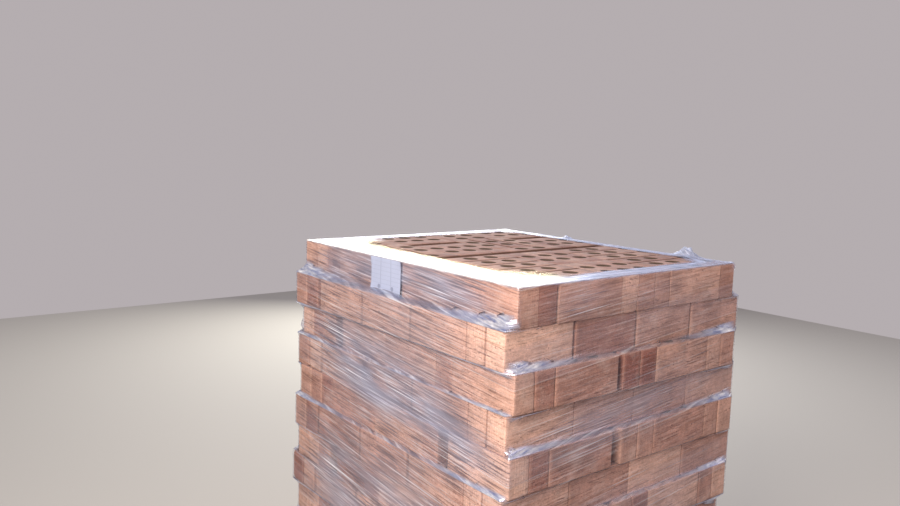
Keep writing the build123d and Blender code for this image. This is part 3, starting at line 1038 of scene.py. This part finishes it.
class PALLET_OT_wrap_film(bpy.types.Operator):
    """Wrap the stack in stretch film"""
    bl_idname = "pallet.wrap_film"
    bl_label = "Wrap Film"

    def execute(self, context):
        settings = context.scene.pallet_film
        film, around, height = wrapped_film(settings)
        finish_piece(film, "stretch_film", stretched_polythene(settings))
        return {"FINISHED"}


class PALLET_OT_stick_label(bpy.types.Operator):
    """Stick the bare paper label on the film"""
    bl_idname = "pallet.stick_label"
    bl_label = "Stick Label"

    def execute(self, context):
        settings = context.scene.pallet_label
        label, flat = stuck_label(context.scene.pallet_film.clearance, settings)
        finish_piece(label, "paper_label", label_paper(settings))
        return {"FINISHED"}


def area_light(name, place, target, side, power, colour):
    """A soft square light that faces a target and doesn't show itself."""
    data = bpy.data.lights.new(name, "AREA")
    data.size, data.energy, data.color = side, power, linear(colour)[:3]
    light = bpy.data.objects.new(name, data)
    light.location = place
    aim = Vector(target) - Vector(place)
    light.rotation_euler = aim.to_track_quat("-Z", "Y").to_euler()
    light.visible_camera = False
    bpy.context.scene.collection.objects.link(light)


def studio_floor(settings):
    """A square of matt paint under the pallet."""
    edge = np.array([-0.5, 0.5]) * settings.floor_side
    x, y = np.meshgrid(edge, edge)
    floor = mesh_object("studio_floor", np.stack([x, y, np.zeros_like(x)], -1), grid_faces(2, 2))
    material, add = new_material("matt_floor_paint")
    add("OutputMaterial", add("BsdfPrincipled", Base_Color=linear(settings.floor), Roughness=0.9))
    floor.data.materials.append(material)


def soft_room(settings):
    """The world, which lights the pallet evenly from all round."""
    world = bpy.data.worlds.new("soft_studio")
    world.use_nodes = True
    background = world.node_tree.nodes["Background"].inputs
    background["Color"].default_value = linear(settings.room)
    background["Strength"].default_value = settings.room_strength
    bpy.context.scene.world = world


def photo_camera(settings):
    """The camera, rolled about its own axis, then tilted down and turned to its heading."""
    camera = bpy.data.objects.new("photo_camera", bpy.data.cameras.new("photo_camera"))
    camera.data.sensor_width, camera.data.lens = 36.0, settings.lens
    camera.location = settings.eye
    camera.rotation_mode = "XYZ"
    heading = Matrix.Rotation(-settings.heading, 3, "Z")
    upright = Matrix.Rotation(math.pi / 2 - settings.tilt, 3, "X")
    camera.rotation_euler = (heading @ upright @ Matrix.Rotation(settings.roll, 3, "Z")).to_euler()
    bpy.context.scene.collection.objects.link(camera)
    bpy.context.scene.camera = camera


class PALLET_OT_set_stage(bpy.types.Operator):
    """Put in the floor, the lights and the camera"""
    bl_idname = "pallet.set_stage"
    bl_label = "Set Stage"

    def execute(self, context):
        settings = context.scene.pallet_stage
        studio_floor(settings)
        soft_room(settings)
        for name, values in LIGHTS.items():
            area_light(name, *values)
        photo_camera(settings)
        context.scene.view_settings.view_transform = "Standard"
        return {"FINISHED"}


class PALLET_PT_sidebar(bpy.types.Panel):
    """The steps that dress the pallet, in order"""
    bl_label = "Brick Pallet"
    bl_idname = "PALLET_PT_sidebar"
    bl_space_type = "VIEW_3D"
    bl_region_type = "UI"
    bl_category = "Brick Pallet"

    def draw(self, context):
        for operator, group in STEPS:
            box = self.layout.box()
            box.operator(operator.bl_idname)
            for name in getattr(context.scene, group).bl_rna.properties.keys():
                if name not in ("rna_type", "name"):
                    box.prop(getattr(context.scene, group), name)


SETTINGS = {
    "pallet_bricks": BrickSettings,
    "pallet_wood": WoodSettings,
    "pallet_film": FilmSettings,
    "pallet_label": LabelSettings,
    "pallet_stage": StageSettings,
}
STEPS = [
    (PALLET_OT_set_stage, "pallet_stage"),
    (PALLET_OT_saw_timber, "pallet_wood"),
    (PALLET_OT_lay_bricks, "pallet_bricks"),
    (PALLET_OT_wrap_film, "pallet_film"),
    (PALLET_OT_stick_label, "pallet_label"),
]


def register():
    for name, group in SETTINGS.items():
        bpy.utils.register_class(group)
        setattr(bpy.types.Scene, name, bpy.props.PointerProperty(type=group))
    for operator, _ in STEPS:
        bpy.utils.register_class(operator)
    bpy.utils.register_class(PALLET_PT_sidebar)


def unregister():
    bpy.utils.unregister_class(PALLET_PT_sidebar)
    for operator, _ in reversed(STEPS):
        bpy.utils.unregister_class(operator)
    for name, group in reversed(SETTINGS.items()):
        delattr(bpy.types.Scene, name)
        bpy.utils.unregister_class(group)


def main():
    """Dress the pallet."""
    register()
    bpy.ops.pallet.set_stage()
    bpy.ops.pallet.saw_timber()
    bpy.ops.pallet.lay_bricks()
    bpy.ops.pallet.wrap_film()
    bpy.ops.pallet.stick_label()


if __name__ == "__main__":
    main()
